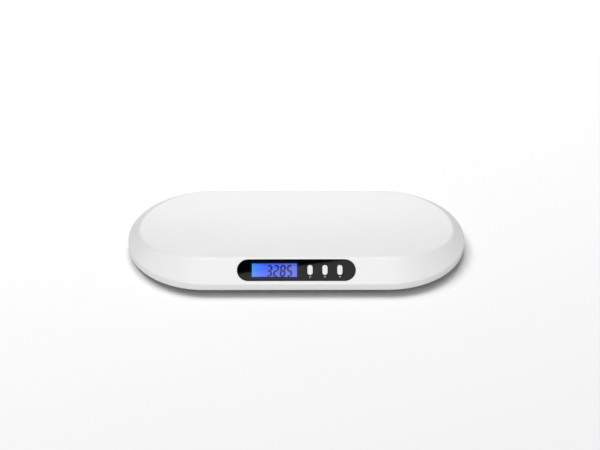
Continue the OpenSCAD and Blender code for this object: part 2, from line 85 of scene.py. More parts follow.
# The apron's own frame: x to the right, y up the slope, z out of the surface
APRON_ORIGIN = np.array([
    0.0,
    -END_R + PANEL_UP_SLOPE * math.cos(SLOPE),
    CREASE_Z + PANEL_UP_SLOPE * math.sin(SLOPE),
])
APRON_AXES = np.array([
    [1.0, 0.0, 0.0],
    [0.0, math.cos(SLOPE), math.sin(SLOPE)],
    [0.0, -math.sin(SLOPE), math.cos(SLOPE)],
])
KEY_X = [box_middle(node)[0] for node in KEYS]
WINDOW_LOW, WINDOW_HIGH = (np.array(corner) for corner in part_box("display_window"))
WINDOW_X = (WINDOW_LOW[0] + WINDOW_HIGH[0]) / 2
WINDOW_HALF_Y = 11.1 * MM
WINDOW_HALF = np.array([(WINDOW_HIGH[0] - WINDOW_LOW[0]) / 2, WINDOW_HALF_Y])


def on_apron(points):
    """Carries points from the apron's frame to the world: origin + x right + y up slope + z out."""
    return APRON_ORIGIN + np.asarray(points) @ APRON_AXES


# ---------------------------------------------------------------- camera, lights and floor

LOOK_UP = math.radians(35.75)
DISTANCE = 3.0
LENS = 109.55
AIM_RIGHT = 6.1 * MM
AIM_UP = 28.3 * MM


def add_object(name, data):
    """A new object in the scene, with the data given."""
    thing = bpy.data.objects.new(name, data)
    bpy.context.collection.objects.link(thing)
    return thing


def make_camera():
    """Stands in front of the middle, LOOK_UP above level, and aims a little above the body."""
    back = Vector((0, -math.cos(LOOK_UP), math.sin(LOOK_UP)))
    up = Vector((0, math.sin(LOOK_UP), math.cos(LOOK_UP)))
    middle = Vector((0, 0, EDGE_Z))
    aim = middle + AIM_UP * up + AIM_RIGHT * Vector((1, 0, 0))
    camera = add_object("camera", bpy.data.cameras.new("camera"))
    camera.location = middle + DISTANCE * back
    camera.rotation_euler = (aim - camera.location).to_track_quat("-Z", "Y").to_euler()
    camera.data.lens = LENS
    camera.data.clip_end = 100
    bpy.context.scene.camera = camera


def area_light(name, position, size, power):
    """A soft white square lamp that faces the origin."""
    data = bpy.data.lights.new(name, "AREA")
    data.energy = power
    data.size = size
    lamp = add_object(name, data)
    lamp.location = position
    lamp.rotation_euler = (-Vector(position)).to_track_quat("-Z", "Y").to_euler()
    return lamp


def lights_only(lamp, piece, state):
    """Makes a lamp light only the piece (INCLUDE) or everything but the piece (EXCLUDE)."""
    group = bpy.data.collections.new(lamp.name + "_lights")
    group.objects.link(piece)
    group.collection_objects[0].light_linking.link_state = state
    lamp.light_linking.receiver_collection = group


make_camera()

# ---------------------------------------------------------------- materials


def linear(code):
    """An sRGB hex colour as opaque linear RGBA."""
    values = [int(code[start:start + 2], 16) / 255 for start in (1, 3, 5)]
    return tuple(value / 12.92 if value <= 0.04045 else ((value + 0.055) / 1.055) ** 2.4
                 for value in values) + (1.0,)


def add_node(tree, kind, inputs=(), **settings):
    """Adds a node; an input is a socket to link from, or a plain value."""
    node = tree.nodes.new(kind)
    for name, value in settings.items():
        setattr(node, name, value)
    for name, value in dict(inputs).items():
        if isinstance(value, bpy.types.NodeSocket):
            tree.links.new(value, node.inputs[name])
        else:
            node.inputs[name].default_value = value
    return node


def new_material(name):
    """An empty material: its tree, the socket its shader goes to and its Object coordinates."""
    material = bpy.data.materials.new(name)
    material.use_nodes = True
    tree = material.node_tree
    tree.nodes.clear()
    surface = add_node(tree, "ShaderNodeOutputMaterial").inputs["Surface"]
    place = add_node(tree, "ShaderNodeTexCoord").outputs["Object"]
    return material, tree, surface, place


def principled(tree, surface, inputs):
    """The material's shader, joined to its output."""
    shader = add_node(tree, "ShaderNodeBsdfPrincipled", inputs)
    tree.links.new(shader.outputs["BSDF"], surface)


def noise(tree, place, size, detail=2.0):
    """Noise whose features have the given size, as a value from 0 to 1."""
    node = add_node(tree, "ShaderNodeTexNoise", {
        "Vector": place, "Scale": 1 / size, "Detail": detail})
    return node.outputs["Fac"]


def mapped(tree, value, source=(0.0, 1.0), to=(0.0, 1.0), **settings):
    """A value carried from the source range to another."""
    node = add_node(tree, "ShaderNodeMapRange", {
        "Value": value, "From Min": source[0], "From Max": source[1],
        "To Min": to[0], "To Max": to[1]}, **settings)
    return node.outputs["Result"]


def mixed_colour(tree, factor, first, second):
    """A mix of two colours by the factor."""
    node = add_node(tree, "ShaderNodeMix", {"Factor": factor, "A": first, "B": second},
                    data_type="RGBA")
    return next(socket for socket in node.outputs if socket.type == "RGBA")


def calculated(tree, operation, *values):
    """The result of a maths node on one or two values."""
    node = add_node(tree, "ShaderNodeMath", dict(enumerate(values)), operation=operation)
    return node.outputs["Value"]


CLOUD_SIZE = 60 * MM
ROUGHNESS_SWING = 0.04


def grained(name, colour, second, roughness, grain, bump, **fixed):
    """A plain solid with a fine grain: noise of the given size swings the roughness a little
    and lifts the surface by bump metres, and a wide noise mixes the two colours."""
    material, tree, surface, place = new_material(name)
    fine = noise(tree, place, grain, 3.0)
    lift = add_node(tree, "ShaderNodeBump", {
        "Height": fine, "Strength": 1.0, "Distance": bump})
    principled(tree, surface, {
        "Base Color": mixed_colour(tree, noise(tree, place, CLOUD_SIZE), linear(colour),
                                   linear(second)),
        "Roughness": mapped(tree, fine, to=(roughness - ROUGHNESS_SWING,
                                            roughness + ROUGHNESS_SWING)),
        "Normal": lift.outputs["Normal"], **fixed})
    return material


# Injection-moulded ABS from a polished tool: a soft, even white with a faint orange peel
MOULDED_ABS = grained("moulded_white_abs", "#E1E1E1", "#DEDEDE", 0.36, 1.4 * MM, 0.006 * MM,
                      IOR=1.53)
# ABS from a spark-eroded tool: the underside's dull, sandy texture
TEXTURED_ABS = grained("textured_white_abs", "#D8D8D8", "#D2D2D3", 0.58, 0.7 * MM, 0.03 * MM,
                       IOR=1.53)
# ABS key caps: a little glossier than the shell
KEY_ABS = grained("key_white_abs", "#E2E2E3", "#DEDEDF", 0.3, 0.9 * MM, 0.003 * MM, IOR=1.53)
# Grey ABS of the foot cups
FOOT_ABS = grained("moulded_grey_abs", "#B9BCBF", "#B1B4B8", 0.45, 0.8 * MM, 0.01 * MM, IOR=1.53)
# Vulcanised rubber: dull, with a fine bloom
FOOT_RUBBER = grained("vulcanised_grey_rubber", "#77797C", "#6D6F73", 0.78, 0.9 * MM, 0.02 * MM)
# The black print that edges the window: opaque and matt
BLACK_PRINT = grained("black_printed_mask", "#08080A", "#0A0A0C", 0.5, 0.4 * MM, 0.002 * MM)
# Pale ink, screen printed on the panel
SCREEN_INK = grained("screen_printed_ink", "#E4E6E8", "#D8DADD", 0.55, 0.4 * MM, 0.004 * MM)
# Inside: tape, sealant, boards, chips, connectors, wire covers, batteries and the light guide
FOAM_TAPE = grained("closed_cell_foam_tape", "#C9C7BD", "#BDBBB0", 0.85, 0.3 * MM, 0.05 * MM)
SILICONE = grained("cured_silicone", "#EDEDE8", "#E2E2DC", 0.42, 2 * MM, 0.04 * MM)
SOLDER_MASK = grained("green_solder_mask", "#1E6A3B", "#195A31", 0.3, 1.2 * MM, 0.02 * MM)
CHIP_EPOXY = grained("moulded_chip_epoxy", "#1B1C1E", "#151618", 0.6, 0.2 * MM, 0.01 * MM)
NYLON = grained("moulded_cream_nylon", "#EDEADF", "#E3DFD2", 0.5, 0.5 * MM, 0.01 * MM)
PVC_RED = grained("red_pvc_insulation", "#B83A33", "#A8312B", 0.42, 1 * MM, 0.01 * MM)
PVC_BLACK = grained("black_pvc_insulation", "#232427", "#1C1D1F", 0.42, 1 * MM, 0.01 * MM)
BATTERY_SLEEVE = grained("shrunk_printed_sleeve", "#3C4F63", "#35475A", 0.3, 3 * MM, 0.02 * MM)
GUIDE_ACRYLIC = grained("blue_lit_acrylic", "#3D7DFF", "#3573F5", 0.2, 2 * MM, 0.002 * MM)
LED_EPOXY = grained("white_led_epoxy", "#EEF4FF", "#E2ECFB", 0.25, 1 * MM, 0.004 * MM)
# Zinc plating, bright with a fine crystalline haze
ZINC = grained("zinc_plated_steel", "#C4C7CB", "#B6B9BE", 0.3, 0.4 * MM, 0.008 * MM, Metallic=1.0)
# Stamped steel of the load cells, and the nickel plate of the battery contacts
SPRING_STEEL = grained("stamped_spring_steel", "#A7ABB0", "#9A9EA4", 0.34, 0.3 * MM, 0.01 * MM,
                       Metallic=1.0)
NICKEL = grained("bright_nickel_plate", "#D0D1CE", "#C4C5C1", 0.18, 0.5 * MM, 0.004 * MM,
                 Metallic=1.0)

# How far round the window the panel's painted blue glow reaches
PAINTED_GLOW_REACH = 4.0 * MM
DUST_SIZE = 0.5 * MM
ACRYLIC_IOR = 1.49


def past_window(tree, place):
    """Distance along the panel from the window's edge, 0 within it: the root of the squares of
    max(|p - middle| - half, 0) in x and up the slope."""
    squares = []
    for axis, middle, half in ((0, WINDOW_X, WINDOW_HALF[0]), (1, 0.0, WINDOW_HALF[1])):
        along = add_node(tree, "ShaderNodeVectorMath", {0: place, 1: APRON_AXES[axis]},
                         operation="DOT_PRODUCT")
        origin = float(APRON_ORIGIN.dot(APRON_AXES[axis]) + middle)
        offset = calculated(tree, "SUBTRACT", along.outputs["Value"], origin)
        size = calculated(tree, "ABSOLUTE", offset)
        past = calculated(tree, "SUBTRACT", size, float(half))
        outside = calculated(tree, "MAXIMUM", past, 0.0)
        squares.append(calculated(tree, "POWER", outside, 2.0))
    return calculated(tree, "SQRT", calculated(tree, "ADD", *squares))


def polished_black_acrylic():
    """Cast black acrylic, flame polished: nearly black, a mirror gloss with a slight waviness.
    A painted glow, a dark blue emission on the panel itself, stands for the backlight bleeding
    into it for a few millimetres round the window."""
    material, tree, surface, place = new_material("polished_black_acrylic")
    lift = add_node(tree, "ShaderNodeBump", {
        "Height": noise(tree, place, 9 * MM, 1.0), "Strength": 1.0, "Distance": 0.002 * MM})
    painted_glow_share = mapped(tree, past_window(tree, place), (0.0, PAINTED_GLOW_REACH), (1.0, 0.0),
                   interpolation_type="SMOOTHSTEP")
    principled(tree, surface, {
        "Base Color": linear("#020203"), "IOR": ACRYLIC_IOR, "Normal": lift.outputs["Normal"],
        "Roughness": mapped(tree, noise(tree, place, DUST_SIZE), to=(0.01, 0.04)),
        # Painted glow: a dark blue emission near the window stands for the backlight's bleed
        "Emission Color": mixed_colour(tree, painted_glow_share, (0, 0, 0, 1), linear("#00184E")),
        "Emission Strength": 1.0})
    return material


def clear_acrylic():
    """Clear acrylic, polished both sides: transmits nearly everything, with a faint cool tint."""
    material, tree, surface, place = new_material("clear_polished_acrylic")
    principled(tree, surface, {
        "Base Color": linear("#F4F8FF"), "IOR": ACRYLIC_IOR, "Transmission Weight": 1.0,
        "Roughness": mapped(tree, noise(tree, place, DUST_SIZE), to=(0.0, 0.03))})
    return material


# The display's colour from its left end to its right
GLOW_STOPS = ((0.0, "#2098EE"), (0.12, "#1078FA"), (0.3, "#2054F6"), (0.55, "#4260EC"),
              (1.0, "#5A6CD6"))


def backlit_display():
    """A lit LCD: the lamps at its left end make it cyan there, and it turns to a periwinkle
    blue towards the right and the lower edge."""
    material, tree, surface, place = new_material("backlit_lcd_glass")
    axes = add_node(tree, "ShaderNodeSeparateXYZ", {"Vector": place})
    across = mapped(tree, axes.outputs["X"], (float(WINDOW_LOW[0]), float(WINDOW_HIGH[0])))
    glow = add_node(tree, "ShaderNodeValToRGB", {"Fac": across})
    ramp = glow.color_ramp
    while len(ramp.elements) < len(GLOW_STOPS):
        ramp.elements.new(1.0)
    for element, (position, colour) in zip(ramp.elements, GLOW_STOPS):
        element.position = position
        element.color = linear(colour)
    paleness = mapped(tree, axes.outputs["Z"], (float(WINDOW_LOW[2]), float(WINDOW_HIGH[2])),
                      (0.3, 0.0))
    principled(tree, surface, {
        "Base Color": linear("#10182E"), "IOR": 1.5,
        "Roughness": mapped(tree, noise(tree, place, 0.4 * MM), to=(0.12, 0.2)),
        "Emission Color": mixed_colour(tree, paleness, glow.outputs["Color"],
                                       linear("#8C93F0")),
        "Emission Strength": 1.0})
    return material


BLACK_ACRYLIC = polished_black_acrylic()
CLEAR_ACRYLIC = clear_acrylic()
LCD_GLASS = backlit_display()
# Liquid-crystal segments switched on: a dark navy film
LCD_INK = grained("switched_lcd_segment", "#03040C", "#03040A", 0.14, 0.4 * MM, 0.001 * MM,
                  **{"Emission Color": linear("#041068"), "Emission Strength": 1.0,
                     "Specular IOR Level": 0.25})

CAD_FINISHES = {
    "base_pan": TEXTURED_ABS, "battery_door": TEXTURED_ABS, "housing_screws": ZINC,
    "panel_adhesive": FOAM_TAPE, "panel_marks": SCREEN_INK, "lcd_cell": LCD_GLASS,
    "light_guide": GUIDE_ACRYLIC, "backlight_leds": LED_EPOXY, "display_frame": TEXTURED_ABS,
    "main_board": SOLDER_MASK, "board_chips": CHIP_EPOXY, "board_connectors": NYLON,
    "wireless_module": SOLDER_MASK, "board_screws": ZINC, "switch_bodies": CHIP_EPOXY,
    "holder_screws": ZINC, "gauge_seals": SILICONE, "cell_wires": PVC_RED,
    "battery_leads": PVC_BLACK, "battery_springs": NICKEL, "battery_plates": NICKEL,
}
CAD_FINISHES.update({f"battery_{i}": BATTERY_SLEEVE for i in range(1, 5)})
CAD_FINISHES.update({f"plunger_{key[4:]}": NYLON for key in KEYS})
for corner in CORNERS:
    CAD_FINISHES[f"load_cell_{corner}"] = SPRING_STEEL
    CAD_FINISHES[f"cell_holder_{corner}"] = TEXTURED_ABS
for name, finish in CAD_FINISHES.items():
    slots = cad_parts[name].data.materials
    slots.clear()
    slots.append(finish)

# ---------------------------------------------------------------- mesh tools

MERGE_DISTANCE = 0.002 * MM
SMALLEST_EDGE = 0.001 * MM
LEVEL_STEP = 0.05 * MM


def grid_faces(rows, columns):
    """Quads of a grid whose columns close into a ring: each joins a row to the next."""
    row, column = np.meshgrid(np.arange(rows - 1), np.arange(columns), indexing="ij")
    beside = (column + 1) % columns
    return np.stack([row * columns + column, row * columns + beside,
                     (row + 1) * columns + beside, (row + 1) * columns + column], -1).reshape(-1, 4)


def make_piece(name, points, faces, material, body, fill=False, sharp=30):
    """Makes an object from points and quads, merges what coincides, and points faces outwards.
    With fill, open rims in one plane are closed with triangles. Edges that turn by more than
    the sharp angle, in degrees, stay crisp."""
    mesh = bpy.data.meshes.new(name)
    mesh.from_pydata(np.asarray(points).reshape(-1, 3).tolist(), [], np.asarray(faces).tolist())
    work = bmesh.new()
    work.from_mesh(mesh)
    loose = [vertex for vertex in work.verts if not vertex.link_faces]
    bmesh.ops.delete(work, geom=loose, context="VERTS")
    bmesh.ops.remove_doubles(work, verts=work.verts, dist=MERGE_DISTANCE)
    if fill:
        fill_flat_rims(work)
    bmesh.ops.dissolve_degenerate(work, edges=work.edges, dist=SMALLEST_EDGE)
    bmesh.ops.recalc_face_normals(work, faces=work.faces)
    work.to_mesh(mesh)
    work.free()
    mesh.shade_smooth()
    mesh.set_sharp_from_angle(angle=math.radians(sharp))
    mesh.materials.append(material)
    piece = add_object(name, mesh)
    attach(piece, body)
    return piece


def fill_flat_rims(work):
    """Closes the open rims: those that lie at one height out of the apron are one face."""
    normal = Vector(APRON_AXES[2])
    rims = [edge for edge in work.edges if edge.is_boundary]
    levels = {}
    for edge in rims:
        level = round(sum(vertex.co.dot(normal) for vertex in edge.verts) / 2 / LEVEL_STEP)
        levels.setdefault(level, []).append(edge)
    for edges in levels.values():
        bmesh.ops.triangle_fill(work, edges=edges, use_beauty=True, normal=normal)


def rounded_outline(half_x, half_y, corner_r, steps=16):
    """A rounded rectangle, anticlockwise: arc centres and outward directions. A point at an
    offset is centre + (corner_r + offset) x direction."""
    angles = np.linspace(0, math.pi / 2, steps + 1)
    turns = np.concatenate([angles + quarter * math.pi / 2 for quarter in range(4)])
    signs = np.repeat([[1, 1], [-1, 1], [-1, -1], [1, -1]], steps + 1, axis=0)
    centres = signs * np.array([half_x - corner_r, half_y - corner_r])
    return centres, np.stack([np.cos(turns), np.sin(turns)], -1), corner_r


def carry(outline, rows):
    """Carries a profile of (offset, height) rows round an outline, as a grid of points."""
    centres, directions, corner_r = outline
    rows = np.asarray(rows)
    flat = centres + (corner_r + rows[:, None, None, 0]) * directions
    flat = flat.reshape(len(rows), -1, 2)
    heights = np.broadcast_to(rows[:, 1, None, None], flat.shape[:2] + (1,))
    return np.concatenate([flat, heights], -1)


def rounding(corner, before, after, steps=5):
    """Points on a quadratic curve from corner+before to corner+after, drawn to the corner."""
    s = np.linspace(0, 1, steps + 1)[:, None]
    corner, before, after = (np.asarray(place, float) for place in (corner, before, after))
    return (1 - s) ** 2 * (corner + before) + 2 * s * (1 - s) * corner + s ** 2 * (corner + after)


# ---------------------------------------------------------------- the shell

STRAIGHT_STEPS = 48
ARC_STEPS = 96
APRON_ROWS = 9
CREASE_ROUND = 1.6 * MM
CREST_ROUND_PANEL = 1.9 * MM
CREST_ROUND_BACK = 2.0 * MM
CREST_ROUND_FRONT = 4.2 * MM
PANEL_ZONE_X = 105 * MM
EDGE_ROUND = 0.7 * MM
SUPPORT = 0.35 * MM
WALL_STEP = 5 * MM
TRAY_ROWS = 44
TRAY_POWER = 0.85
UNDER_ROWS = 22
CREST_STEPS = 9
CREASE_STEPS = 6
EDGE_STEPS = 5
NEWTON_STEPS = 40


def perimeter():
    """Centres and angles once round the body, anticlockwise from the front's left end."""
    run = np.linspace(-END_X, END_X, STRAIGHT_STEPS + 1)[:-1]
    turn = np.linspace(-math.pi / 2, math.pi / 2, ARC_STEPS + 1)[:-1]
    centre_x = np.concatenate([run, np.full(ARC_STEPS, END_X), -run, np.full(ARC_STEPS, -END_X)])
    angle = np.concatenate([np.full(STRAIGHT_STEPS, -math.pi / 2), turn,
                            np.full(STRAIGHT_STEPS, math.pi / 2), turn + math.pi])
    return centre_x, angle


def trough_height(y, inset):
    """Height of the trough's arc at y, or of its underside when inset is the wall."""
    return TROUGH_Z + TROUGH_R - np.sqrt((TROUGH_R + inset) ** 2 - (y - TROUGH_Y) ** 2)


def apron_height(r, inset):
    """Height of the sloping apron at a distance from the centre line."""
    return CREASE_Z + (END_R - r) * math.tan(SLOPE) - inset / math.cos(SLOPE)


def crest_distance(angle, inset):
    """Where the apron meets the trough: Newton's method on the difference of their heights."""
    r = np.full_like(angle, 0.8 * END_R)
    for _ in range(NEWTON_STEPS):
        y = r * np.sin(angle)
        gap = apron_height(r, inset) - trough_height(y, inset)
        steepness = (y - TROUGH_Y) / (TROUGH_R + inset)
        r = r + gap / (math.tan(SLOPE) + steepness * np.sin(angle))
    return r


def crest_rounding(centre_x, angle):
    """Reach of the crest's rounding: it grows evenly from the back to the front as the sine of
    the angle falls, and shrinks again, by a smooth step, beside the panel."""
    frontness = (1 - np.sin(angle)) / 2
    reach = CREST_ROUND_BACK + (CREST_ROUND_FRONT - CREST_ROUND_BACK) * frontness
    step = np.clip((END_X - np.abs(centre_x)) / (END_X - PANEL_ZONE_X), 0, 1)
    at_front = np.sin(angle) < -0.999
    step = step ** 2 * (3 - 2 * step) * at_front
    return reach + (CREST_ROUND_PANEL - reach) * step


def blend_corner(corner, before, after, steps):
    """The rounding curve for every column at once; each argument is a pair of rows (r, z)."""
    s = np.linspace(0, 1, steps + 1)[:, None, None]
    corner, before, after = (np.stack(np.broadcast_arrays(*pair)) for pair in
                             (corner, before, after))
    curve = (1 - s) ** 2 * before + 2 * s * (1 - s) * corner + s ** 2 * after
    return list(curve)


def shell_grid():
    """Rows of (r, z) from the middle of the tray out over the crest, the apron and the wall,
    round the lower edge and back underneath to the middle. Returns the points, and the first
    and last apron rows of the outer face and of the inner one."""
    centre_x, angle = perimeter()
    ones = np.ones_like(angle)
    cos_a, sin_a = math.cos(SLOPE), math.sin(SLOPE)
    crest_r = crest_distance(angle, 0)
    crest_z = apron_height(crest_r, 0)
    rows = []

    crest_round = crest_rounding(centre_x, angle)
    inner_r = crest_r - crest_round
    for share in np.linspace(0, 1, TRAY_ROWS) ** TRAY_POWER:
        r = (inner_r - SUPPORT) * share
        rows.append(np.stack([r, trough_height(r * np.sin(angle), 0)]))
    start = np.stack([inner_r, trough_height(inner_r * np.sin(angle), 0)])
    crest = np.stack([crest_r, crest_z])
    end = crest + crest_round * np.stack([cos_a * ones, -sin_a * ones])
    rows += blend_corner(crest, start, end, CREST_STEPS)

    top_r = crest_r + (crest_round + SUPPORT) * cos_a
    low_r = (END_R - (CREASE_ROUND + SUPPORT) * cos_a) * ones
    outer_first = len(rows)
    for share in np.linspace(0, 1, APRON_ROWS):
        r = top_r + (low_r - top_r) * share
        rows.append(np.stack([r, apron_height(r, 0)]))
    outer_last = len(rows) - 1

    crease = np.stack([END_R * ones, CREASE_Z * ones])
    start = crease + CREASE_ROUND * np.stack([-cos_a * ones, sin_a * ones])
    end = crease - np.stack([0 * ones, CREASE_ROUND * ones])
    rows += blend_corner(crease, start, end, CREASE_STEPS)
    rows.append(np.stack([END_R * ones, (CREASE_Z - CREASE_ROUND - SUPPORT) * ones]))
    rows.append(np.stack([END_R * ones, (EDGE_Z + EDGE_ROUND + SUPPORT) * ones]))
    edge = np.stack([END_R * ones, EDGE_Z * ones])
    start = edge + np.stack([0 * ones, EDGE_ROUND * ones])
    end = edge - np.stack([EDGE_ROUND * ones, 0 * ones])
    rows += blend_corner(edge, start, end, EDGE_STEPS)

    wall_r = END_R - WALL
    rows.append(np.stack([wall_r * ones, EDGE_Z * ones]))
    rows.append(np.stack([wall_r * ones, (EDGE_Z + WALL_STEP) * ones]))
    under_crest = crest_distance(angle, WALL)
    inner_first = len(rows)
    for share in np.linspace(0, 1, APRON_ROWS):
        r = wall_r + (under_crest - wall_r) * share
        rows.append(np.stack([r, apron_height(r, WALL)]))
    inner_last = len(rows) - 1
    for share in np.linspace(1, 0, UNDER_ROWS)[1:]:
        r = under_crest * share
        rows.append(np.stack([r, trough_height(r * np.sin(angle), WALL)]))

    rows = np.array(rows)
    points = np.stack([centre_x + rows[:, 0] * np.cos(angle), rows[:, 0] * np.sin(angle),
                       rows[:, 1]], -1)
    return points, (outer_first, outer_last), (inner_first, inner_last)


def rim_of_block(rows, columns):
    """Grid places round a block of the front apron, from its top row to its bottom row: along
    the bottom, up the right end, back along the top and down the left end."""
    top, bottom = rows
    across = np.arange(STRAIGHT_STEPS + 1)
    down = np.arange(top, bottom, 1 if bottom > top else -1)[1:]
    return np.concatenate([
        bottom * columns + across, down[::-1] * columns + STRAIGHT_STEPS,
        top * columns + across[::-1], down * columns])


def panel_opening(rim_points):
    """The recess's outline with one place for each point of the rim round it: straight above
    and below, and even steps round each half-round end."""
    local = (rim_points - APRON_ORIGIN) @ APRON_AXES.T
    straight = PANEL_HALF[0] - PANEL_HALF[1]
    x = local[:, 0]
    centres = np.stack([np.clip(x, -straight, straight), np.zeros_like(x)], -1)
    directions = np.stack([np.zeros_like(x), np.sign(local[:, 1])], -1)
    order = np.arctan2(local[:, 1] / PANEL_HALF[1], x / PANEL_HALF[0])
    for side in (1, -1):
        group = np.flatnonzero(side * x > straight)
        facing = order[group] if side > 0 else np.mod(order[group], 2 * math.pi)
        ranked = group[np.argsort(facing)]
        turn = np.linspace(-math.pi / 2, math.pi / 2, len(group)) + (0 if side > 0 else math.pi)
        centres[ranked] = [side * straight, 0]
        directions[ranked] = np.stack([np.cos(turn), np.sin(turn)], -1)
    return centres, directions, PANEL_HALF[1] + RECESS_GAP


LIP = 0.45 * MM
SEAT_LEDGE = 3 * MM
SEAT_MARGIN = 0.5 * MM
# Where the added rings lie, as shares of the way from the opening's edge to the block's rim
SHARES_OUTSIDE = (0.6, 0.3, 0.1, 0.02)
SHARES_INSIDE = (0.3, 0.65)
SHELL_SHARP = 40


def make_shell():
    """The white top: one closed wall with rounded edges and a stepped opening for the panel.
    The apron's block of faces in front gives way to rings between its rim and the opening."""
    grid, outer_block, inner_block = shell_grid()
    columns = grid.shape[1]
    points = grid.reshape(-1, 3)
    faces = grid_faces(len(grid), columns)
    row, column = faces[:, 0] // columns, faces[:, 0] % columns
    inside = np.zeros(len(faces), bool)
    for first, last in (outer_block, inner_block):
        inside |= (row >= first) & (row < last) & (column < STRAIGHT_STEPS)
    faces = faces[~inside]

    outer_rim = rim_of_block(outer_block, columns)
    inner_rim = rim_of_block((inner_block[1], inner_block[0]), columns)
    opening = panel_opening(points[outer_rim])
    profile = [(LIP, 0.0)] + list(rounding((0, 0), (LIP, 0), (0, -LIP))[1:]) + [
        (0, RECESS_FLOOR), (-SEAT_LEDGE, RECESS_FLOOR), (-SEAT_LEDGE, SEAT_BACK),
        (SEAT_MARGIN, SEAT_BACK), (SEAT_MARGIN, -WALL)]
    rings = on_apron(carry(opening, profile))
    top_edge, back_edge = rings[0], rings[-1]
    spread_out = [top_edge + share * (points[outer_rim] - top_edge)
                  for share in SHARES_OUTSIDE]
    spread_in = [back_edge + share * (points[inner_rim] - back_edge)
                 for share in SHARES_INSIDE]
    rings = np.array(spread_out + list(rings) + spread_in)
    count = len(outer_rim)
    added = len(points) + np.arange(len(rings) * count).reshape(-1, count)
    places = np.concatenate([outer_rim[None], added, inner_rim[None]])
    faces = np.concatenate([faces, places.reshape(-1)[grid_faces(len(places), count)]])
    points = np.concatenate([points, rings.reshape(-1, 3)])
    shell = make_piece("white_shell", points, faces, MOULDED_ABS, BODY,
                       sharp=SHELL_SHARP)
    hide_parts("platform_shell")


make_shell()

# ---------------------------------------------------------------- panel, window and display

PANEL_EDGE = 0.35 * MM
KEY_HOLE_EDGE = 0.2 * MM
WINDOW_BEVEL = 0.08 * MM
BACK_BAND = 1.2 * MM
FACE_BAND = 0.2 * MM
KEY_GAP = 0.2 * MM
WINDOW_GAP = 0.05 * MM
WINDOW_CORNER = 0.2 * MM
WINDOW_EASE = 0.06 * MM
UPRIGHT_LIMIT = 0.1


def make_panel():
    """The black panel: a plate with softened edges, an opening for the window and three for
    the keys. Each outline's side wall is a grid, with a band of BACK_BAND or FACE_BAND beside
    it, and the flat faces are filled between them."""
    top, back = PANEL_PROUD, PANEL_BACK
    outer = rounded_outline(*PANEL_HALF, PANEL_HALF[1], 32)
    outer_rows = [(-BACK_BAND, back), (0, back)]
    outer_rows += list(rounding((0, top), (0, -PANEL_EDGE), (-PANEL_EDGE, 0)))
    outer_rows += [(-PANEL_EDGE - FACE_BAND, top)]
    window = rounded_outline(*(WINDOW_HALF + WINDOW_GAP), WINDOW_CORNER, 3)
    window_rows = [(BACK_BAND, back), (0, back), (0, top - WINDOW_BEVEL), (WINDOW_BEVEL, top),
                   (WINDOW_BEVEL + FACE_BAND, top)]
    key_hole = rounded_outline(*(KEY_HALF + KEY_GAP), KEY_HALF[0] + KEY_GAP, 12)
    key_rows = [(BACK_BAND, back), (0, back)]
    key_rows += list(rounding((0, top), (0, -KEY_HOLE_EDGE), (KEY_HOLE_EDGE, 0), 3))
    key_rows += [(KEY_HOLE_EDGE + FACE_BAND, top)]
    sides = [(carry(outer, outer_rows), 0.0), (carry(window, window_rows), WINDOW_X)]
    sides += [(carry(key_hole, key_rows), x) for x in KEY_X]
    points, faces, count = [], [], 0
    for grid, shift in sides:
        points.append((grid + [shift, 0, 0]).reshape(-1, 3))
        faces.append(grid_faces(*grid.shape[:2]) + count)
        count += len(points[-1])
    panel = make_piece("black_panel", on_apron(np.concatenate(points)), np.concatenate(faces),
                       BLACK_ACRYLIC, BODY, fill=True)
    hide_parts("control_panel")


def make_window():
    """The clear window: a flat block that fills the panel's opening, with eased edges. Its
    side faces, upright to the apron, are printed black."""
    ease = WINDOW_EASE
    outline = rounded_outline(*WINDOW_HALF, WINDOW_CORNER, 3)
    rows = [(-ease, PANEL_BACK), (0, PANEL_BACK + ease), (0, PANEL_PROUD - ease),
            (-ease, PANEL_PROUD)]
    grid = carry(outline, rows) + [WINDOW_X, 0, 0]
    window = make_piece("clear_window", on_apron(grid), grid_faces(*grid.shape[:2]),
                        CLEAR_ACRYLIC, BODY, fill=True)
    window.data.materials.append(BLACK_PRINT)
    normals = np.empty(3 * len(window.data.polygons))
    window.data.polygons.foreach_get("normal", normals)
    upright = np.abs(normals.reshape(-1, 3) @ APRON_AXES[2]) < UPRIGHT_LIMIT
    window.data.polygons.foreach_set("material_index", upright.astype(np.int32))
    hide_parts("display_window")


# Segments in the order top, upper right, lower right, bottom, lower left, upper left, middle
DIGIT_SEGMENTS = {"3": "1111001", "2": "1101101", "8": "1111111", "5": "1011011"}
READING = "3285"
DIGIT_W = 6.0 * MM
DIGIT_H = 17.0 * MM
DIGIT_PITCH = 10.7 * MM
DIGIT_LEAN = 0.07
DIGIT_RISE = -0.1 * MM
FIRST_DIGIT_X = -42.9 * MM
SEGMENT_T = 3.0 * MM
SEGMENT_END_GAP = 0.12 * MM
SEGMENT_H = 0.06 * MM
DOT_R = 0.9 * MM
DISPLAY_TOP = SEAT_BACK - 0.1 * MM
SEGMENT_CLEARANCE = 0.01 * MM


def segment_bar(start, end):
    """A long hexagon from start to end, SEGMENT_T wide, whose ends come to a point."""
    start, end = np.array(start), np.array(end)
    run = (end - start) / np.linalg.norm(end - start)
    side = np.array([-run[1], run[0]]) * SEGMENT_T / 2
    tip = run * SEGMENT_T / 2
    gap = run * SEGMENT_END_GAP
    start, end = start + gap, end - gap
    return np.array([start, start + tip - side, end - tip - side, end, end - tip + side,
                     start + tip + side])


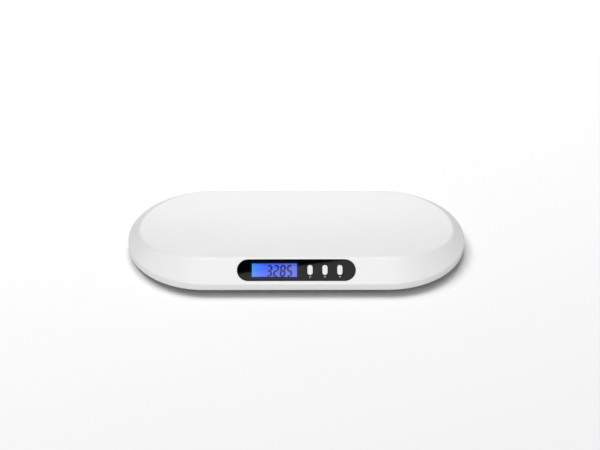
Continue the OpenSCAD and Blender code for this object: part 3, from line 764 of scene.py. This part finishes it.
def make_digits():
    """The reading: seven-bar digits that lean a little, and a point after the first, as thin
    prisms on the display."""
    w, h = DIGIT_W / 2, DIGIT_H / 2
    bars = [((-w, h), (w, h)), ((w, h), (w, 0)), ((w, 0), (w, -h)), ((-w, -h), (w, -h)),
            ((-w, 0), (-w, -h)), ((-w, h), (-w, 0)), ((-w, 0), (w, 0))]
    shapes = []
    for place, digit in enumerate(READING):
        middle = np.array([FIRST_DIGIT_X + place * DIGIT_PITCH, DIGIT_RISE])
        shapes += [segment_bar(*bar) + middle for bar, on in zip(bars, DIGIT_SEGMENTS[digit])
                   if on == "1"]
    dot = DOT_R * np.array([[1, 0], [0.5, 0.87], [-0.5, 0.87], [-1, 0], [-0.5, -0.87],
                            [0.5, -0.87]])
    shapes.append(dot + [FIRST_DIGIT_X + DIGIT_PITCH / 2, DIGIT_RISE - h])
    flat = np.array(shapes)
    flat[:, :, 0] += DIGIT_LEAN * flat[:, :, 1]
    count = len(flat)
    heights = np.full((count, 6, 1), DISPLAY_TOP + SEGMENT_CLEARANCE)
    low = np.concatenate([flat, heights], -1)
    high = low + [0, 0, SEGMENT_H]
    points = np.stack([low, high], 1)
    base = (np.arange(count) * 12)[:, None, None]
    sides = base + grid_faces(2, 6)[None]
    hexagons = [list(range(6 * ring, 6 * ring + 6)) for ring in range(2 * count)]
    faces = sides.reshape(-1, 4).tolist() + hexagons
    mesh = bpy.data.meshes.new("display_digits")
    mesh.from_pydata(on_apron(points.reshape(-1, 3)).tolist(), [], faces)
    work = bmesh.new()
    work.from_mesh(mesh)
    bmesh.ops.recalc_face_normals(work, faces=work.faces)
    work.to_mesh(mesh)
    work.free()
    mesh.materials.append(LCD_INK)
    digits = add_object("display_digits", mesh)
    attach(digits, BODY)


KEY_EDGE = 0.6 * MM
KEY_FLANGE = 1.2 * MM
KEY_FLANGE_H = 1 * MM
KEY_FLANGE_TOP = SEAT_BACK - 0.3 * MM
GROOVE_INSET = 3.0 * MM
# Half of the groove's section, from its edge to its middle: (across, depth)
GROOVE_SECTION = ((0.45 * MM, 0.0), (0.25 * MM, 0.1 * MM), (0.0, 0.2 * MM))


def make_key(node, x):
    """A key cap: an upright oblong with soft edges, a shallow oval groove, and a flange that
    holds it under the shell."""
    outline = rounded_outline(*KEY_HALF, KEY_HALF[0], 16)
    low = KEY_FLANGE_TOP - KEY_FLANGE_H
    rows = [(-KEY_HALF[0], low), (KEY_FLANGE, low), (KEY_FLANGE, KEY_FLANGE_TOP),
            (0, KEY_FLANGE_TOP), (0, KEY_TOP - KEY_EDGE - FACE_BAND)]
    rows += list(rounding((0, KEY_TOP), (0, -KEY_EDGE), (-KEY_EDGE, 0)))
    rows += [(-KEY_EDGE - FACE_BAND, KEY_TOP)]
    rows += [(across - GROOVE_INSET, KEY_TOP - depth) for across, depth in GROOVE_SECTION]
    rows += [(-across - GROOVE_INSET, KEY_TOP - depth)
             for across, depth in GROOVE_SECTION[-2::-1]]
    rows += [(-KEY_HALF[0], KEY_TOP)]
    grid = carry(outline, rows) + [x, 0, 0]
    cap = make_piece(node + "_cap", on_apron(grid), grid_faces(*grid.shape[:2]), KEY_ABS,
                     node + "_body")
    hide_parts(node)


make_panel()
make_window()
make_digits()
for node, x in zip(KEYS, KEY_X):
    make_key(node, x)

# ---------------------------------------------------------------- feet

TURNED = rounded_outline(0, 0, 0, 18)
CUP_FLOOR = 2 * MM
CUP_NECK_R = 6 * MM
CUP_NECK_TOP = 12 * MM
CUP_STUD_R = 2.3 * MM
CUP_RIM_CLEARANCE = 2 * MM
CUP_EDGE = 1 * MM
SMALL_EDGE = 0.5 * MM
PAD_GAP = 0.1 * MM
FOOT_SHARP = 40
# The rings pressed into a pad's face: (radius, height) in millimetres
PAD_FACE = ((0, 0), (5.0, 0), (5.6, 0.5), (6.4, 0.5), (7.0, 0),
            (10.0, 0), (10.6, 0.5), (11.4, 0.5), (12.0, 0))


def make_feet():
    """Each foot is a turned cup with a rounded rim and a ringed rubber pad; rows are
    (radius, height)."""
    cup_low, cup_high = (np.array(corner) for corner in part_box("foot_cup_fl"))
    pad_low, pad_high = (np.array(corner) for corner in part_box("foot_pad_fl"))
    cup_r = (cup_high[0] - cup_low[0]) / 2
    pad_r = (pad_high[0] - pad_low[0]) / 2
    rim_top = EDGE_Z - CUP_RIM_CLEARANCE
    cup_rows = [(0, CUP_FLOOR), (pad_r + PAD_GAP, CUP_FLOOR), (pad_r + PAD_GAP, cup_low[2])]
    cup_rows += list(rounding((cup_r, cup_low[2]), (-SMALL_EDGE, 0), (0, SMALL_EDGE), 3))
    cup_rows += list(rounding((cup_r, rim_top), (0, -CUP_EDGE), (-CUP_EDGE, 0)))
    cup_rows += [(CUP_NECK_R, rim_top), (CUP_NECK_R, CUP_NECK_TOP),
                 (CUP_STUD_R, CUP_NECK_TOP), (CUP_STUD_R, cup_high[2]), (0, cup_high[2])]
    pad_rows = [(radius * MM, height * MM) for radius, height in PAD_FACE]
    pad_rows += list(rounding((pad_r, 0), (-SMALL_EDGE, 0), (0, SMALL_EDGE), 3))
    pad_rows += [(pad_r, pad_high[2]), (0, pad_high[2])]
    for corner in CORNERS:
        middle = box_middle(f"foot_pad_{corner}") * [1, 1, 0]
        for part, rows, finish, slot in (("cup", cup_rows, FOOT_ABS, "cup_grey"),
                                         ("pad", pad_rows, FOOT_RUBBER, "pad_rubber")):
            grid = carry(TURNED, rows) + middle
            piece = make_piece(f"turned_{part}_{corner}", grid, grid_faces(*grid.shape[:2]),
                               finish, BODY, sharp=FOOT_SHARP)
            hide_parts(f"foot_{part}_{corner}")


make_feet()

# ---------------------------------------------------------------- stage

CARD_DISTANCE = 1.2
CARD_HALF = 0.28
CARD_LINE_RISE = 8.3 * MM
CARD_LINE_SLOPE = 0.128
CARD_LINE_SOFT = 1.8 * MM
CARD_GREY = 0.84
FLOOR_HALF = 20.0
FLOOR_DROP = 0.05 * MM
# The body's lamps leave the floor out; the gloss lamps, behind it, show only as a sheen.
# Each is (name, place, size, power)
BODY_LAMPS = (
    ("front_lamp", (0.0, -2.6, 1.0), 1.2, 29.8),
    ("left_lamp", (-2.4, 0.0, 1.6), 1.6, 7.2),
    ("top_lamp", (0.0, 0.0, 3.2), 2.0, 60.2),
    ("back_gloss_lamp", (0.0, 2.0, 2.2), 1.6, 28.4),
    ("low_gloss_lamp", (0.0, 3.0, 0.9), 1.4, 10.6),
)
# The floor's lamps stand behind and to the left, and lay the body's soft shadow in front
FLOOR_LAMPS = (
    ("floor_back_lamp", (0.0, 4.25, 6.5)),
    ("floor_left_lamp", (-3.75, 3.75, 6.0)),
)
FLOOR_LAMP_SIZE = 3.5
FLOOR_LAMP_POWER = 318
SKY_STRENGTH = 0.294


def make_sheet(name, corners, material):
    """One flat four-cornered face, for the stage."""
    mesh = bpy.data.meshes.new(name)
    mesh.from_pydata([tuple(corner) for corner in corners], [], [(0, 1, 2, 3)])
    mesh.materials.append(material)
    return add_object(name, mesh)


def square_corners(centre, half, right, up):
    """Corners of a square, anticlockwise, with the directions of its sides."""
    return [centre + side_x * half * right + side_y * half * up
            for side_x, side_y in ((-1, -1), (1, -1), (1, 1), (-1, 1))]


def make_card():
    """A card above the front, seen only in reflections: grey below a slanting soft line and
    black above it, which gives the polished panel its slanting sheen."""
    panel = on_apron([0, 0, PANEL_PROUD])
    view = panel - np.array(bpy.context.scene.camera.location)
    view /= np.linalg.norm(view)
    mirrored = view - 2 * view.dot(APRON_AXES[2]) * APRON_AXES[2]
    right = APRON_AXES[0]
    up = np.cross(mirrored, right)
    centre = panel + CARD_DISTANCE * mirrored
    material, tree, surface, place = new_material("grey_and_black_card")
    across = up - CARD_LINE_SLOPE * right
    line = centre.dot(across) + CARD_LINE_RISE
    level = add_node(tree, "ShaderNodeVectorMath", {0: place, 1: across},
                     operation="DOT_PRODUCT")
    shade = mapped(tree, level.outputs["Value"], (line - CARD_LINE_SOFT, line + CARD_LINE_SOFT),
                   (CARD_GREY, 0.0), interpolation_type="SMOOTHSTEP")
    glow = add_node(tree, "ShaderNodeEmission", {"Strength": shade})
    tree.links.new(glow.outputs["Emission"], surface)
    card = make_sheet("reflection_card", square_corners(centre, CARD_HALF, right, up), material)
    for ray in ("camera", "diffuse", "transmission", "volume_scatter", "shadow"):
        setattr(card, "visible_" + ray, False)


def make_stage():
    """A wide pale floor, soft lamps and an even sky."""
    # Uncoated paper: matt, with the faintest mottling
    material, tree, surface, place = new_material("pale_paper_sweep")
    principled(tree, surface, {
        "Base Color": mixed_colour(tree, noise(tree, place, 1.0), linear("#F6F6F6"),
                                   linear("#F4F4F4")),
        "Roughness": 0.9})
    corners = square_corners(np.array([0, 0, -FLOOR_DROP]), FLOOR_HALF, *np.eye(3)[:2])
    floor = make_sheet("floor", corners, material)
    for name, position, size, power in BODY_LAMPS:
        lamp = area_light(name, position, size, power)
        lamp.visible_diffuse = "gloss" not in name
        lights_only(lamp, floor, "EXCLUDE")
    for name, position in FLOOR_LAMPS:
        lamp = area_light(name, position, FLOOR_LAMP_SIZE, FLOOR_LAMP_POWER)
        lights_only(lamp, floor, "INCLUDE")
    world = bpy.data.worlds.new("even_sky")
    world.use_nodes = True
    background = world.node_tree.nodes["Background"]
    background.inputs["Color"].default_value = (1, 1, 1, 1)
    background.inputs["Strength"].default_value = SKY_STRENGTH
    bpy.context.scene.world = world
    bpy.context.scene.view_settings.view_transform = "Standard"


make_card()
make_stage()
